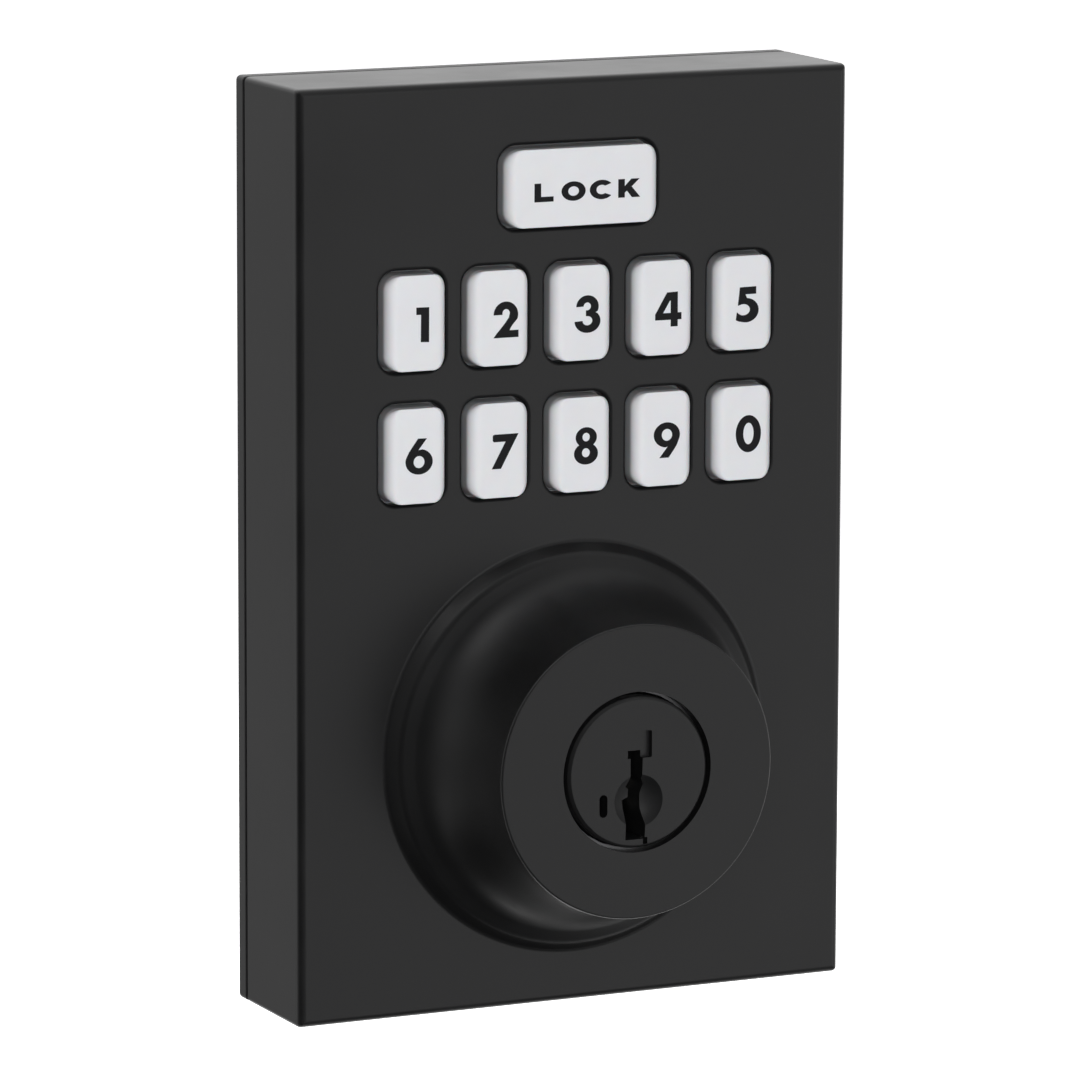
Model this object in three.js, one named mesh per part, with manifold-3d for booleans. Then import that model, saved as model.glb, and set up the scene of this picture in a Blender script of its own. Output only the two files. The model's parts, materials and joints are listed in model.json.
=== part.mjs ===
// The outside unit of a keypad deadbolt lock, in millimetres.
// X points right as seen from the front, Y points into the door and Z points up.
// The origin lies on the key cylinder's axis, in the plane of the door's face.
import * as THREE from "three";
import { mergeVertices } from "three/addons/utils/BufferGeometryUtils.js";
import Module from "manifold-3d";

const wasm = await Module();
wasm.setup();

// ---------------------------------------------------------------- driving dimensions

const GAP = 0.3; // left between pieces that rest on each other

const PLATE = { width: 80, height: 124, centreZ: 27.3, edge: 1.15, corner: 0.7, wall: 2.2 };
const FRONT_Y = -20.3; // front plane of the housing
const SEAM_Y = -3.1; // where the housing ends and the back plate begins
const WALL_REAR_Y = FRONT_Y + PLATE.wall;

const DOME = { rim: 19.6, reach: 19.1, sweep: 7, rise: 16.6, edge: 0.2, wall: 1.8 };
// The roll round the dome's foot: a hollow fillet, a straight slope and a rounded top.
const DOME_FOOT = { radius: 28.1, fillet: 0.8, slope: 56, run: 0.86, roll: 2, top: 25 };
const DISC_Y = FRONT_Y - DOME.reach;
const DISC_HOLE = 10.6;
const BOSS = { screwX: 30, board: 2.2, plate: 2.4, carrier: 2.8 }; // radii of the screw posts

const KEYPAD_X = 0.2; // the keypad's middle stands this far right of the plate's
const KEY = { width: 8.6, height: 12.6, corner: 2, reach: 1.95, pitchX: 11.93, soft: 0.95 };
const LOCK_KEY = { width: 22.1, height: 10.3, corner: 2.2, z: 75.05 };
const ROW_Z = [58.3, 40.8];
const WINDOW_GAP = 0.4;
const FLANGE = { lip: 0.8, frontY: WALL_REAR_Y + GAP, thickness: 1 };
const KEY_TRAVEL = 0.9;

const MEMBRANE = { width: 60, low: 34.6, high: 80.2, frontY: -15, rearY: -14, padRadius: 2.6 };
const BOARD = { width: 71.6, low: 34, high: 80.2, frontY: -13.6, rearY: -12 };
const BOARD_SCREW = { x: 33.2, z: [39.5, 74.5] };
const CHIP = { low: [9, BOARD.rearY + 0.2, 62], high: [19, -10.4, 72] };
const RETAINER = { frontY: -11.7, rearY: -10.1, border: 4.4, rib: 3 };
const SOCKET = { width: 13, height: 5, z: 43, frontY: -11.8, rearY: -6.8, wall: 0.8 };

const BACK = { frontY: -2.65, rearY: -0.25, edge: 0.3, bladeHole: 5, postHole: 3.8 };
const PLATE_SCREW = { x: 33.4, z: [-27.8, 83], seatY: -1.75 };
const GASKET = { inset: 1.3, width: 2.2, frontY: -1.5 };
const OUTLET = { width: 20, height: 10, z: 20, lip: 1, ring: 2.5 };

const SHELL = { radius: 14, bore: 10.35, frontY: -37.3, rearY: -9, rearWall: 0.7 };
const SIDEBAR_GROOVE = { radius: 11.4, frontY: -30.6, rearY: -13.4 };
const SIDEBAR_SPRING_Y = [-26, -18];
const PLUG = { radius: 10.1, frontY: -39.6, rearY: -10, stub: 7, cup: 6.2, stubRearY: -6.9 };
const PLUG_CHAMFER = 0.35;
const CLIP = { inner: 6.8, outer: 8.9, frontY: -8.7, rearY: -8.2, opening: 5 };
const KEYWAY_END_Y = -14.5;
const DIMPLE = { radius: 5.7, x: 0.1, z: -3.8, stand: 4.5 }; // its centre stands in front of the face
const RECESS = { left: -1.6, right: 2, low: 1.9, high: 5.5, depth: 0.8 };
const TOOL_SLOT = { x: -5, z: -4.1, width: 1.1, height: 3, depth: 8 };
const PIN = { count: 5, firstY: -33.5, pitch: 3.8, x: -0.2, head: 1.05, stem: 0.55 };
const CHAMBER = { radius: 1.35, low: 3.1, high: 8.9 };
const SPRING = { pin: 0.95, sidebar: 0.65, length: 3.1, wire: 0.35, coils: 4, sides: 6 };
const DRIVER = { hub: 4.2, ear: 5.9, earHalfAngle: 42, frontY: -12.2, rearY: -7.2 };
const BLADE = { radius: 3.2, frontY: -12.2, rearY: 58 };

const CARRIER = { width: 70, height: 24, corner: 3, frontY: -8.7, rearY: -6.7, hole: 9.5 };
const POST = { x: 19, radius: 3.4, spigot: 2, rearY: 16, threadRadius: 1.7, threadDepth: 14 };

// ---------------------------------------------------------------- finishes

const FINISH = {
  blackPaint: { color: 0x2b2b2d, roughness: 0.45, metalness: 0.2 },
  whiteKey: { color: 0xe4e4e6, roughness: 0.4, metalness: 0 },
  blackRubber: { color: 0x151515, roughness: 0.9, metalness: 0 },
  greyRubber: { color: 0x9a9a98, roughness: 0.85, metalness: 0 },
  board: { color: 0x1f5a35, roughness: 0.5, metalness: 0 },
  blackPlastic: { color: 0x1c1c1d, roughness: 0.6, metalness: 0 },
  whitePlastic: { color: 0xd8d4c6, roughness: 0.55, metalness: 0 },
  zinc: { color: 0x8b8c8e, roughness: 0.4, metalness: 1 },
  steel: { color: 0xa9abad, roughness: 0.3, metalness: 1 },
  brass: { color: 0xb5924c, roughness: 0.35, metalness: 1 },
};

// ---------------------------------------------------------------- solids

// A closed three.js geometry as a solid that can be joined and cut.
function solid(geometry) {
  const bare = geometry.clone();
  bare.deleteAttribute("normal");
  bare.deleteAttribute("uv");
  const merged = mergeVertices(bare);
  return new wasm.Manifold(
    new wasm.Mesh({
      numProp: 3,
      vertProperties: new Float32Array(merged.attributes.position.array),
      triVerts: new Uint32Array(merged.index.array),
    }),
  );
}

function geometryOf(made) {
  const mesh = made.getMesh();
  const geometry = new THREE.BufferGeometry();
  geometry.setAttribute("position", new THREE.BufferAttribute(mesh.vertProperties, 3));
  geometry.setIndex(new THREE.BufferAttribute(mesh.triVerts, 1));
  return geometry;
}

const cutAll = (made, cutters) => cutters.reduce((rest, cutter) => rest.subtract(cutter), made);
const joinAll = (made, others) => others.reduce((whole, other) => whole.add(other), made);

// A box from its lowest to its highest corner.
function box(low, high) {
  const size = high.map((value, i) => value - low[i]);
  const geometry = new THREE.BoxGeometry(...size);
  geometry.translate(...low.map((value, i) => value + size[i] / 2));
  return solid(geometry);
}

// An outline drawn in the X-Z plane and drawn out along Y, from frontY to rearY.
// Its edges are rounded by soft where that is given.
function prism(shape, frontY, rearY, { soft = 0, curveSegments = 6, softSegments = 2 } = {}) {
  const geometry = new THREE.ExtrudeGeometry(shape, {
    depth: rearY - frontY - 2 * soft,
    bevelEnabled: soft > 0,
    bevelSize: soft,
    bevelThickness: soft,
    bevelOffset: -soft,
    bevelSegments: softSegments,
    curveSegments,
  });
  geometry.rotateX(Math.PI / 2);
  geometry.translate(0, rearY - soft, 0);
  return solid(geometry);
}

// A profile of [radius, y] points turned about the line x, z along Y.
// Its points run anticlockwise with the radius to the right and y up.
function turned(points, segments = 32, x = 0, z = 0) {
  const profile = points.map(([radius, y]) => new THREE.Vector2(radius, y));
  const geometry = new THREE.LatheGeometry(profile, segments);
  geometry.translate(x, 0, z);
  return solid(geometry);
}

function rod(radius, frontY, rearY, x = 0, z = 0, segments = 16) {
  const profile = [[0, frontY], [radius, frontY], [radius, rearY], [0, rearY]];
  return turned(profile, segments, x, z);
}

function roundedRectangle(width, height, corner, x = 0, z = 0) {
  const right = width / 2 - corner;
  const top = height / 2 - corner;
  const shape = new THREE.Shape();
  const quarter = Math.PI / 2;
  shape.absarc(x + right, z + top, corner, 0, quarter);
  shape.absarc(x - right, z + top, corner, quarter, 2 * quarter);
  shape.absarc(x - right, z - top, corner, 2 * quarter, 3 * quarter);
  shape.absarc(x + right, z - top, corner, 3 * quarter, 4 * quarter);
  shape.closePath();
  return shape;
}

const polygon = (points) => new THREE.Shape(points.map(([x, z]) => new THREE.Vector2(x, z)));
const degrees = THREE.MathUtils.degToRad;

// ---------------------------------------------------------------- the scene

const lock = new THREE.Group();
lock.name = "keypad_lock";

function addPart(name, made, finish) {
  const mesh = new THREE.Mesh(geometryOf(made), new THREE.MeshStandardMaterial(finish));
  mesh.name = name;
  lock.add(mesh);
}

// ---------------------------------------------------------------- keys and their places

const KEY_NAMES = [
  ["1", "2", "3", "4", "5"],
  ["6", "7", "8", "9", "0"],
];
const keys = KEY_NAMES.flatMap((row, r) =>
  row.map((digit, column) => ({
    name: "key_" + digit,
    x: KEYPAD_X + (column - 2) * KEY.pitchX,
    z: ROW_Z[r],
    width: KEY.width,
    height: KEY.height,
    corner: KEY.corner,
  })),
);
keys.push({ name: "key_lock", x: KEYPAD_X, ...LOCK_KEY });

// ---------------------------------------------------------------- front housing

// The roll from the housing's front face inwards to the start of the dome's hollow curve.
function footOutline() {
  const { radius, fillet, slope, run, roll, top } = DOME_FOOT;
  const filletAt = (angle) => [
    radius - fillet * Math.sin(degrees(angle)),
    FRONT_Y - fillet * (1 - Math.cos(degrees(angle))),
  ];
  const [filletEnd, filletTop] = filletAt(slope);
  const rollAt = (angle) => [
    filletEnd - run - roll * (Math.sin(degrees(slope)) - Math.sin(degrees(angle))),
    filletTop - run * Math.tan(degrees(slope)) -
      roll * (Math.cos(degrees(angle)) - Math.cos(degrees(slope))),
  ];
  return [...[0, slope / 2, slope].map(filletAt), ...[slope, (slope + top) / 2, top].map(rollAt)];
}

// The dome from its foot to the disc: the roll, then a hollow curve that steepens to the rim.
function domeOutline() {
  const hollow = [16, 24, 34, 45, 57, 72, 90].map((angle) => [
    DOME.rim + DOME.sweep * (1 - Math.sin(degrees(angle))),
    DISC_Y + DOME.edge + DOME.rise * Math.cos(degrees(angle)),
  ]);
  return [
    [0, FRONT_Y + 1],
    [DOME_FOOT.radius, FRONT_Y + 1],
    ...footOutline(),
    ...hollow,
    [DOME.rim - DOME.edge, DISC_Y],
    [0, DISC_Y],
  ].reverse();
}

// The space inside the dome, which holds the key cylinder.
function domeHollow() {
  const innerRim = DOME.rim - DOME.wall;
  return turned(
    [
      [0, DISC_Y + DOME.wall],
      [innerRim - 0.4, DISC_Y + DOME.wall],
      [innerRim, DISC_Y + DOME.wall + 2],
      [innerRim + 0.9, FRONT_Y - 7],
      [innerRim + 3, FRONT_Y - 2],
      [innerRim + 5.4, WALL_REAR_Y + 0.1],
      [0, WALL_REAR_Y + 0.1],
    ],
    24,
  );
}

const corners = (screw) => screw.z.flatMap((z) => [-screw.x, screw.x].map((x) => ({ x, z })));

// A post inside the housing with a blind hole for a screw.
function boss(radius, rearY, holeRadius, holeDepth, { x, z }) {
  const hole = rod(holeRadius, rearY - holeDepth, rearY + 1, x, z, 8);
  return { post: rod(radius, WALL_REAR_Y - 0.5, rearY, x, z, 10), hole };
}

// The housing's solid outline: its four front edges are rounded and meet in mitred corners.
function frontBlock() {
  const { width, height, corner, edge, centreZ } = PLATE;
  const depth = -2 * FRONT_Y;
  const outline = prism(roundedRectangle(width, height, corner, 0, centreZ), FRONT_Y, SEAM_Y, {
    curveSegments: 2,
  });
  const curve = { curveSegments: 5 };
  const upright = prism(roundedRectangle(width, depth, edge), -height, height, curve);
  const level = prism(roundedRectangle(depth, height, edge, 0, centreZ), -width, width, curve);
  return outline.intersect(upright.rotate([90, 0, 0])).intersect(level.rotate([0, 0, 90]));
}

function frontHousing() {
  const { width, height, corner, wall, centreZ } = PLATE;
  const inside = roundedRectangle(width - 2 * wall, height - 2 * wall, corner, 0, centreZ);
  const windows = keys.map((key) => {
    const gap = 2 * WINDOW_GAP;
    const hole = [key.width + gap, key.height + gap, key.corner + WINDOW_GAP, key.x, key.z];
    return prism(roundedRectangle(...hole), FRONT_Y - 1, WALL_REAR_Y + 1, { curveSegments: 3 });
  });
  const bosses = [
    ...corners(BOARD_SCREW).map((at) => boss(BOSS.board, BOARD.frontY - GAP, 1.3, 3.6, at)),
    ...corners(PLATE_SCREW).map((at) => boss(BOSS.plate, BACK.frontY - GAP, 1.4, 8, at)),
    ...[-1, 1].map((side) => {
      const at = { x: side * BOSS.screwX, z: 0 };
      return boss(BOSS.carrier, CARRIER.frontY - GAP, 1.4, 7, at);
    }),
  ];
  let shell = frontBlock().add(turned(domeOutline(), 40));
  shell = cutAll(shell, [prism(inside, WALL_REAR_Y, 1, { curveSegments: 2 }), domeHollow()]);
  shell = cutAll(shell, [rod(DISC_HOLE, DISC_Y - 1, DISC_Y + 4, 0, 0, 40), ...windows]);
  shell = joinAll(shell, bosses.map(({ post }) => post));
  return cutAll(shell, bosses.map(({ hole }) => hole));
}

addPart("front_housing", frontHousing(), FINISH.blackPaint);

// ---------------------------------------------------------------- keys

// A cap that fills its window and a wider flange that stops it behind the front wall.
function keyCap({ x, z, width, height, corner }) {
  const frontY = FRONT_Y - KEY.reach;
  const rearY = FLANGE.frontY + FLANGE.thickness;
  const cap = prism(roundedRectangle(width, height, corner, x, z), frontY, rearY + 2, {
    soft: KEY.soft,
    curveSegments: 3,
  });
  const lip = 2 * FLANGE.lip;
  const flangeOutline = roundedRectangle(width + lip, height + lip, corner, x, z);
  const flange = prism(flangeOutline, FLANGE.frontY, rearY, { curveSegments: 1 });
  const behind = box([x - width, rearY - 0.5, z - height], [x + width, rearY + 3, z + height]);
  return cap.subtract(behind).add(flange);
}

for (const key of keys) addPart(key.name, keyCap(key), FINISH.whiteKey);

// ---------------------------------------------------------------- keypad electronics

function keypadMembrane() {
  const { width, low, high, frontY, rearY, padRadius } = MEMBRANE;
  const padFrontY = FLANGE.frontY + FLANGE.thickness + KEY_TRAVEL + 0.2;
  const pads = keys.map(({ x, z }) => rod(padRadius, padFrontY, rearY, x, z, 8));
  return joinAll(box([-width / 2, frontY, low], [width / 2, rearY, high]), pads);
}

function circuitBoard() {
  const { width, low, high, frontY, rearY } = BOARD;
  const sheet = box([-width / 2, frontY, low], [width / 2, rearY, high]);
  const holes = corners(BOARD_SCREW).map(({ x, z }) => rod(1.4, frontY - 1, rearY + 1, x, z, 8));
  return cutAll(sheet, holes);
}

// A frame with one rib across, screwed down over the board.
function boardRetainer() {
  const { frontY, rearY, border, rib } = RETAINER;
  const { width, low, high } = BOARD;
  const middle = (low + high) / 2;
  const right = width / 2 - border;
  const sheet = box([-width / 2, frontY, low], [width / 2, rearY, high]);
  const windows = [
    box([-right, frontY - 1, low + border], [right, rearY + 1, middle - rib / 2]),
    box([-right, frontY - 1, middle + rib / 2], [right, rearY + 1, high - border]),
  ];
  const holes = corners(BOARD_SCREW).map(({ x, z }) => rod(1.4, frontY - 1, rearY + 1, x, z, 8));
  return cutAll(sheet, [...windows, ...holes]);
}

// The board's connector, open to the rear.
function cableSocket() {
  const { width, height, z, frontY, rearY, wall } = SOCKET;
  const shell = box([-width / 2, frontY, z - height / 2], [width / 2, rearY, z + height / 2]);
  const mouth = box(
    [wall - width / 2, frontY + 1, z + wall - height / 2],
    [width / 2 - wall, rearY + 1, z + height / 2 - wall],
  );
  return shell.subtract(mouth);
}

addPart("keypad_membrane", keypadMembrane(), FINISH.greyRubber);
addPart("circuit_board", circuitBoard(), FINISH.board);
addPart("control_chip", box(CHIP.low, CHIP.high), FINISH.blackPlastic);
addPart("cable_socket", cableSocket(), FINISH.whitePlastic);
addPart("board_retainer", boardRetainer(), FINISH.blackPlastic);

// ---------------------------------------------------------------- screws

// A pan-head screw along Y with a cross recess. Its head's underside is at seatY.
function crossScrew({ x, z }, seatY, length, shaftRadius, headRadius, headHeight) {
  const headY = seatY + headHeight;
  const body = turned(
    [
      [0, seatY - length],
      [shaftRadius, seatY - length],
      [shaftRadius, seatY],
      [headRadius, seatY],
      [headRadius, headY - 0.4],
      [headRadius * 0.8, headY],
      [0, headY],
    ],
    8,
    x,
    z,
  );
  const arm = headRadius * 0.6;
  const slit = 0.3;
  return cutAll(body, [
    box([x - arm, headY - 0.7, z - slit], [x + arm, headY + 1, z + slit]),
    box([x - slit, headY - 0.7, z - arm], [x + slit, headY + 1, z + arm]),
  ]);
}

corners(BOARD_SCREW).forEach((at, i) => {
  const screw = crossScrew(at, RETAINER.rearY + GAP, 6.6, 1, 2, 1.3);
  addPart("board_screw_" + (i + 1), screw, FINISH.steel);
});
corners(PLATE_SCREW).forEach((at, i) => {
  const screw = crossScrew(at, PLATE_SCREW.seatY + GAP, 8.6, 1.1, 2.5, 1);
  addPart("plate_screw_" + (i + 1), screw, FINISH.steel);
});
[-1, 1].forEach((side, i) => {
  const at = { x: side * BOSS.screwX, z: 0 };
  const screw = crossScrew(at, CARRIER.rearY + GAP, 8, 1.1, 2.4, 1.5);
  addPart("carrier_screw_" + (i + 1), screw, FINISH.steel);
});

// ---------------------------------------------------------------- back plate, gasket and outlet

function backPlate() {
  const { width, height, corner, centreZ } = PLATE;
  const { frontY, rearY, edge, bladeHole, postHole } = BACK;
  const outline = roundedRectangle(width, height, corner, 0, centreZ);
  const sheet = prism(outline, frontY, rearY, { soft: edge, curveSegments: 3, softSegments: 1 });
  const outlet = roundedRectangle(OUTLET.width, OUTLET.height, 3, 0, OUTLET.z);
  const through = [
    rod(bladeHole, frontY - 1, 1, 0, 0, 20),
    ...[-1, 1].map((side) => rod(postHole, frontY - 1, 1, side * POST.x, 0, 14)),
    ...corners(PLATE_SCREW).map(({ x, z }) => rod(1.5, frontY - 1, 1, x, z, 8)),
    prism(outlet, frontY - 1, 1, { curveSegments: 3 }),
  ];
  const counterbores = corners(PLATE_SCREW).map(({ x, z }) =>
    rod(2.8, PLATE_SCREW.seatY, 1, x, z, 10),
  );
  const groove = gasketRing(GASKET.frontY - GAP, 1, 0.15);
  return cutAll(sheet, [...through, ...counterbores, groove]);
}

// The ring that the gasket is, or wider by spare all round for its groove.
function gasketRing(frontY, rearY, spare) {
  const inset = 2 * (GASKET.inset - spare);
  const across = 2 * (GASKET.width + 2 * spare);
  const { width, height, centreZ } = PLATE;
  const outer = roundedRectangle(width - inset, height - inset, 1.2, 0, centreZ);
  const hole = [width - inset - across, height - inset - across, 1, 0, centreZ];
  outer.holes.push(roundedRectangle(...hole));
  return prism(outer, frontY, rearY, { curveSegments: 3 });
}

// A rubber ring in the back plate's slot, with a lip on the inner side.
function outletGrommet() {
  const { width, height, z, lip, ring } = OUTLET;
  const outer = roundedRectangle(width - 2 * GAP, height - 2 * GAP, 2.7, 0, z);
  const lipOutline = roundedRectangle(width + 2 * lip, height + 2 * lip, 3.5, 0, z);
  const hole = roundedRectangle(width - 2 * ring, height - 2 * ring + 0.6, 1.6, 0, z);
  const lipRearY = BACK.frontY - GAP;
  const sleeve = prism(outer, lipRearY - 0.5, BACK.rearY, { curveSegments: 3 });
  const flange = prism(lipOutline, lipRearY - 0.8, lipRearY, { curveSegments: 3 });
  return sleeve.add(flange).subtract(prism(hole, lipRearY - 2, 1, { curveSegments: 3 }));
}

addPart("back_plate", backPlate(), FINISH.blackPlastic);
addPart("door_gasket", gasketRing(GASKET.frontY, 0, 0), FINISH.blackRubber);
addPart("cable_grommet", outletGrommet(), FINISH.blackRubber);

// ---------------------------------------------------------------- cylinder shell and carrier

function cylinderShell() {
  const { radius, bore, frontY, rearY, rearWall } = SHELL;
  const rearHole = PLUG.stub + GAP;
  const groove = SIDEBAR_GROOVE; // all round, so that the plug turns with the sidebar out
  return turned(
    [
      [bore, frontY],
      [radius, frontY],
      [radius, rearY],
      [rearHole, rearY],
      [rearHole, rearY - rearWall],
      [bore, rearY - rearWall],
      [bore, groove.rearY],
      [groove.radius, groove.rearY],
      [groove.radius, groove.frontY],
      [bore, groove.frontY],
      [bore, frontY],
    ],
    30,
  );
}

function cylinderCarrier() {
  const { width, height, corner, frontY, rearY, hole } = CARRIER;
  const outline = roundedRectangle(width, height, corner);
  const sheet = prism(outline, frontY, rearY, { curveSegments: 3 });
  const drill = (radius, x) => rod(radius, frontY - 1, rearY + 1, x, 0, 14);
  const holes = [-1, 1].flatMap((side) => [
    drill(1.4, side * BOSS.screwX),
    drill(POST.spigot + GAP, side * POST.x),
  ]);
  return cutAll(sheet, [drill(hole, 0), ...holes]);
}

// A post that takes a fixing screw from the inside of the door. Its spigot sits in the carrier.
function mountingPost(x) {
  const { radius, spigot, rearY, threadRadius, threadDepth } = POST;
  const shoulderY = CARRIER.rearY + GAP;
  return turned(
    [
      [0, CARRIER.frontY],
      [spigot, CARRIER.frontY],
      [spigot, shoulderY],
      [radius, shoulderY],
      [radius, rearY - 0.4],
      [radius - 0.4, rearY],
      [threadRadius, rearY],
      [threadRadius, rearY - threadDepth],
      [0, rearY - threadDepth - 1],
    ],
    12,
    x,
  );
}

addPart("cylinder_shell", cylinderShell(), FINISH.zinc);
addPart("cylinder_carrier", cylinderCarrier(), FINISH.steel);
addPart("mounting_post_left", mountingPost(-POST.x), FINISH.steel);
addPart("mounting_post_right", mountingPost(POST.x), FINISH.steel);

// ---------------------------------------------------------------- plug

// The keyway as seen from the front: a narrow slot with wards that widens towards its foot.
const KEYWAY = polygon([
  [-1.1, 2.8],
  [-1.1, -0.9],
  [-1.5, -1.9],
  [-1, -2.3],
  [-1, -3.4],
  [-2, -3.7],
  [-1.7, -5.9],
  [-1.8, -8.9],
  [1, -8.9],
  [1.1, -6.9],
  [0.75, -5],
  [0.75, -3],
  [1.05, -1.7],
  [0.6, -0.9],
  [0.7, 2.8],
]);

const pinY = (i) => PIN.firstY + i * PIN.pitch;

// A sector of a disc about the cylinder's axis, centred on the angle middle.
function sector(inner, outer, middle, halfAngle) {
  const shape = new THREE.Shape();
  const low = degrees(middle - halfAngle);
  const high = degrees(middle + halfAngle);
  shape.absarc(0, 0, outer, low, high);
  shape.absarc(0, 0, inner, high, low, true);
  shape.closePath();
  return shape;
}

function keyPlug() {
  const { radius, frontY, rearY, stub, stubRearY, cup } = PLUG;
  const clipGroove = { radius: stub - 0.4, frontY: -8.8, rearY: -8.1 };
  const cupFrontY = DRIVER.frontY - GAP;
  const body = turned(
    [
      [0, frontY],
      [radius - PLUG_CHAMFER, frontY],
      [radius, frontY + PLUG_CHAMFER],
      [radius, rearY],
      [stub, rearY],
      [stub, clipGroove.frontY],
      [clipGroove.radius, clipGroove.frontY],
      [clipGroove.radius, clipGroove.rearY],
      [stub, clipGroove.rearY],
      [stub, stubRearY],
      [cup, stubRearY],
      [cup, cupFrontY],
      [0, cupFrontY],
    ],
    40,
  );
  // The driver's ear meets this lug once it has turned most of half a turn.
  const lugShape = sector(DRIVER.hub + GAP, cup + 0.3, 90, DRIVER.earHalfAngle);
  const lug = prism(lugShape, cupFrontY - 0.2, stubRearY, { curveSegments: 6 });
  const dimple = new THREE.SphereGeometry(DIMPLE.radius, 20, 16);
  dimple.translate(DIMPLE.x, frontY - DIMPLE.stand, DIMPLE.z);
  const { left, right, low, high, depth } = RECESS;
  const slot = TOOL_SLOT;
  const slotOutline = roundedRectangle(slot.width, slot.height, slot.width / 2 - 0.05, slot.x, slot.z);
  const chambers = Array.from({ length: PIN.count }, (_, i) => {
    const chamber = new THREE.CylinderGeometry(CHAMBER.radius, CHAMBER.radius, 9, 8);
    chamber.rotateX(Math.PI / 2);
    chamber.translate(PIN.x, pinY(i), CHAMBER.low + 4.5);
    return solid(chamber);
  });
  const slots = chambers.map((_, i) =>
    box([PIN.x - 0.75, pinY(i) - 0.95, 2], [PIN.x + 0.75, pinY(i) + 0.95, CHAMBER.low + 0.5]),
  );
  return cutAll(body.add(lug), [
    prism(KEYWAY, frontY - 1, KEYWAY_END_Y),
    solid(dimple),
    box([left, frontY - 1, low], [right, frontY + depth, high]),
    prism(slotOutline, frontY - 1, frontY + slot.depth, { curveSegments: 3 }),
    box([-2, -35.6, CHAMBER.high], [2, -16.2, radius + 1]), // the spring cover's slot
    box([-radius - 1, -30, -1], [-7.6, -14, 1]), // the sidebar's slot
    ...SIDEBAR_SPRING_Y.map((y) => box([-8, y - 0.9, -0.9], [-5.2, y + 0.9, 0.9])),
    ...chambers,
    ...slots,
  ]);
}

// A close-wound spring as a ringed sleeve along Z, from 0 to its length.
function springGeometry(outer) {
  const { length, coils, sides } = SPRING;
  const inner = outer - SPRING.wire;
  const pitch = length / coils;
  const outside = Array.from({ length: coils }, (_, i) => [
    [outer - 0.2, i * pitch],
    [outer, (i + 0.5) * pitch],
  ]).flat();
  const profile = [[inner, 0], ...outside, [outer - 0.2, length], [inner, length], [inner, 0]];
  const points = profile.map(([radius, y]) => new THREE.Vector2(radius, y));
  return new THREE.LatheGeometry(points, sides).rotateX(Math.PI / 2);
}

// The bar's pointed outer edge stands in the shell's groove until the pins let it in.
function sidebar() {
  const outline = polygon([
    [-8.8, -0.7],
    [-8.8, 0.7],
    [-10.4, 0.7],
    [-11, 0.15],
    [-11, -0.15],
    [-10.4, -0.7],
  ]);
  return prism(outline, -29.7, -14.3);
}

// A pin's head slides in its chamber, and its foot reaches down into the keyway.
function keyPin(i) {
  const round = (radius, low, high) => {
    const geometry = new THREE.CylinderGeometry(radius, radius, high - low, 8);
    geometry.rotateX(Math.PI / 2);
    geometry.translate(PIN.x, pinY(i), (low + high) / 2);
    return solid(geometry);
  };
  const foot = box([PIN.x - 0.6, pinY(i) - 0.7, -6.3], [PIN.x + 0.6, pinY(i) + 0.7, -4.8]);
  return joinAll(round(PIN.head, 3.4, 5.4), [round(PIN.stem, -5, 3.6), foot]);
}

addPart("key_plug", keyPlug(), FINISH.blackPaint);
addPart("spring_cover", box([-1.7, -35.3, 9.1], [1.7, -16.5, 9.8]), FINISH.brass);
addPart("sidebar", sidebar(), FINISH.brass);
SIDEBAR_SPRING_Y.forEach((y, i) => {
  const spring = springGeometry(SPRING.sidebar).rotateY(-Math.PI / 2).translate(-5.5, y, 0);
  addPart("sidebar_spring_" + (i + 1), solid(spring), FINISH.steel);
});
for (let i = 0; i < PIN.count; i += 1) {
  addPart("key_pin_" + (i + 1), keyPin(i), FINISH.steel);
  const spring = springGeometry(SPRING.pin).translate(PIN.x, pinY(i), 5.6);
  addPart("pin_spring_" + (i + 1), solid(spring), FINISH.steel);
}

// An open ring that keeps the plug in its shell.
function plugClip() {
  const { inner, outer, frontY, rearY, opening } = CLIP;
  const section = [
    [inner, frontY],
    [outer, frontY],
    [outer, rearY],
    [inner, rearY],
    [inner, frontY],
  ];
  const half = opening / 2;
  return turned(section, 24).subtract(box([-half, frontY - 1, -outer - 1], [half, rearY + 1, 0]));
}

addPart("plug_clip", plugClip(), FINISH.steel);

// ---------------------------------------------------------------- driver and torque blade

const bladeOutline = (spare) => {
  const shape = new THREE.Shape();
  const flat = -0.7 - spare;
  const radius = BLADE.radius + spare;
  const start = Math.asin(flat / radius);
  shape.absarc(0, 0, radius, start, Math.PI - start);
  shape.closePath();
  return shape;
};

function bladeDriver() {
  const { hub, ear, earHalfAngle, frontY, rearY } = DRIVER;
  const disc = rod(hub, frontY, rearY, 0, 0, 20);
  const earShape = sector(hub - 0.5, ear, 270, earHalfAngle);
  const seat = prism(bladeOutline(0.2), frontY - 1, rearY + 1, { curveSegments: 8 });
  return disc.add(prism(earShape, frontY, rearY, { curveSegments: 5 })).subtract(seat);
}

addPart("blade_driver", bladeDriver(), FINISH.zinc);
const bladePrism = prism(bladeOutline(0), BLADE.frontY, BLADE.rearY, { curveSegments: 8 });
addPart("torque_blade", bladePrism, FINISH.steel);

export default lock;
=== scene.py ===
"""The outside unit of a keypad deadbolt: Blender surfaces, materials and light.

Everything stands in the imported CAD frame: X points right as seen from the front, Y into the
door and Z up. The origin lies on the key cylinder's axis, in the plane of the door's face.
Meshes are drawn in millimetres and scaled to metres when they are finished.
"""

import json
import math

import bmesh
import bpy
from mathutils import Matrix, Vector


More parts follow.
